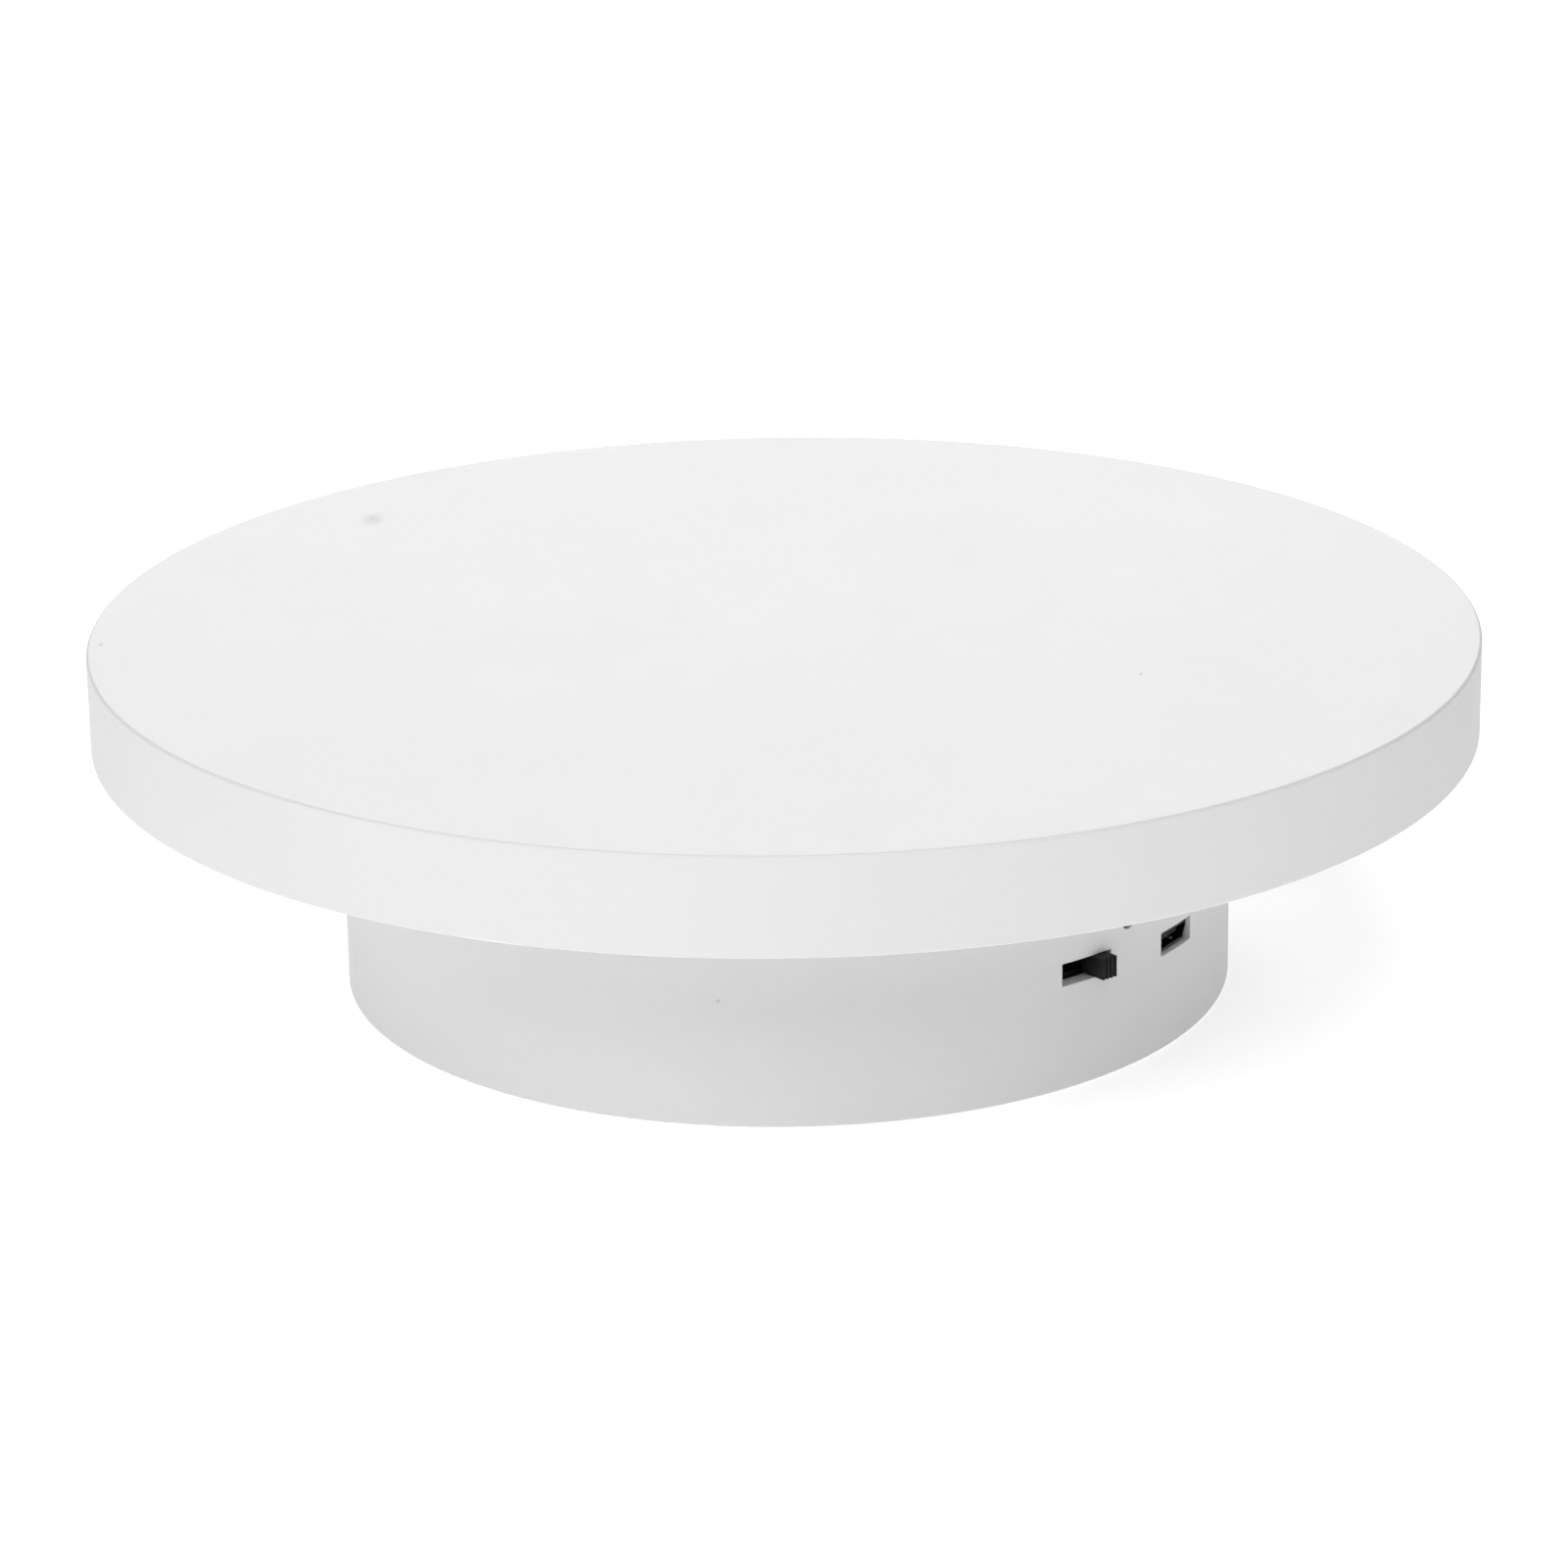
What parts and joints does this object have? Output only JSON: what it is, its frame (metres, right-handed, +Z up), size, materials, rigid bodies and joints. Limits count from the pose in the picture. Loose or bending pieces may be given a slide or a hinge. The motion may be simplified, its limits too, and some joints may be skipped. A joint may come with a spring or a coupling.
{
  "type": "motorised display turntable",
  "caption": "Round motor-driven display turntable: a flat platter on a ball race over a drum base with slide switch, power socket and status light.",
  "frame": {"origin": "centre of the footprint on the table, under the axis of rotation, at the feet's lower faces", "axes": "+Z up along the axis of rotation, -Y towards the front of the picture's view; the switch and socket are in the wall between -Y and +X"},
  "size_m": [0.2, 0.2, 0.0524],
  "materials": {
    "white_abs": "fine satin, off-white",
    "steel": "ground steel",
    "screw_steel": "plated steel",
    "ball_steel": "polished bearing steel",
    "rubber": "dark matt rubber",
    "brass": "turned brass",
    "black_plastic": "black satin",
    "inner_abs": "plain moulded, unpolished",
    "acetal": "milky white, slightly waxy",
    "board": "green solder mask over glass-fibre laminate",
    "led_clear": "water-clear epoxy",
    "cell_sleeve": "shrink sleeve",
    "red_pvc": "wire insulation",
    "black_pvc": "wire insulation"
  },
  "bodies": {
    "base": {"base_housing": "white_abs", "bottom_cover": "white_abs", "cover_screw_1": "screw_steel", "cover_screw_2": "screw_steel", "cover_screw_3": "screw_steel", "cover_screw_4": "screw_steel", "rubber_foot_1": "rubber", "rubber_foot_2": "rubber", "rubber_foot_3": "rubber", "rubber_foot_4": "rubber", "lower_race": "steel", "centre_bushing": "brass", "motor_can": "steel", "motor_end_cap": "black_plastic", "gearbox_housing": "inner_abs", "gearbox_cover": "inner_abs", "gearbox_screw_1": "screw_steel", "gearbox_screw_2": "screw_steel", "gear_axle_1": "steel", "gear_axle_2": "steel", "control_board": "board", "board_screw_1": "screw_steel", "board_screw_2": "screw_steel", "slide_switch_body": "black_plastic", "usb_socket_shell": "steel", "usb_tongue": "black_plastic", "led_indicator": "led_clear", "battery_cell": "cell_sleeve", "battery_cradle": "inner_abs", "motor_lead_1": "red_pvc", "motor_lead_2": "black_pvc", "battery_lead_1": "red_pvc", "battery_lead_2": "black_pvc"},
    "turning_platter": {"platter": "white_abs", "ring_gear": "acetal", "ring_gear_screw_1": "screw_steel", "ring_gear_screw_2": "screw_steel", "ring_gear_screw_3": "screw_steel", "upper_race": "steel", "platter_hub": "steel", "hub_screw_1": "screw_steel", "hub_screw_2": "screw_steel", "hub_screw_3": "screw_steel", "retaining_washer": "steel", "retaining_screw": "screw_steel"},
    "ball_set": {"ball_cage": "black_plastic", "race_ball_1": "ball_steel", "race_ball_2": "ball_steel", "race_ball_3": "ball_steel", "race_ball_4": "ball_steel", "race_ball_5": "ball_steel", "race_ball_6": "ball_steel", "race_ball_7": "ball_steel", "race_ball_8": "ball_steel"},
    "output_shaft": {"output_gear": "acetal"},
    "second_reduction": {"reduction_gear_2": "acetal"},
    "first_reduction": {"reduction_gear_1": "acetal"},
    "motor_rotor": {"motor_pinion": "brass"},
    "knob": {"switch_knob": "black_plastic"}
  },
  "joints": [
    {"name": "platter_spin", "type": "hinge", "parent": "base", "child": "turning_platter", "pos_m": [0, 0, 0.03], "axis": [0, 0, 1], "continuous": true},
    {"name": "ball_cage_spin", "type": "hinge", "parent": "base", "child": "ball_set", "pos_m": [0, 0, 0.03], "axis": [0, 0, 1], "continuous": true},
    {"name": "output_shaft_spin", "type": "hinge", "parent": "base", "child": "output_shaft", "pos_m": [0, 0.0225, 0.03], "axis": [0, 0, 1], "continuous": true},
    {"name": "second_reduction_spin", "type": "hinge", "parent": "base", "child": "second_reduction", "pos_m": [0.01128, 0.0266, 0.03], "axis": [0, 0, 1], "continuous": true},
    {"name": "first_reduction_spin", "type": "hinge", "parent": "base", "child": "first_reduction", "pos_m": [0.02255, 0.0225, 0.03], "axis": [0, 0, 1], "continuous": true},
    {"name": "motor_spin", "type": "hinge", "parent": "base", "child": "motor_rotor", "pos_m": [0.03383, 0.0266, 0.03], "axis": [0, 0, 1], "continuous": true},
    {"name": "switch_slide", "type": "slide", "parent": "base", "child": "knob", "axis": [0.7683, 0.6401, 0], "range_m": [-0.0048, 0]}
  ],
  "couplings": [
    {"joint": "ball_cage_spin", "follows": "platter_spin", "ratio": 0.5},
    {"joint": "output_shaft_spin", "follows": "platter_spin", "ratio": 4},
    {"joint": "second_reduction_spin", "follows": "platter_spin", "ratio": -16},
    {"joint": "first_reduction_spin", "follows": "platter_spin", "ratio": 64},
    {"joint": "motor_spin", "follows": "platter_spin", "ratio": -256}
  ]
}
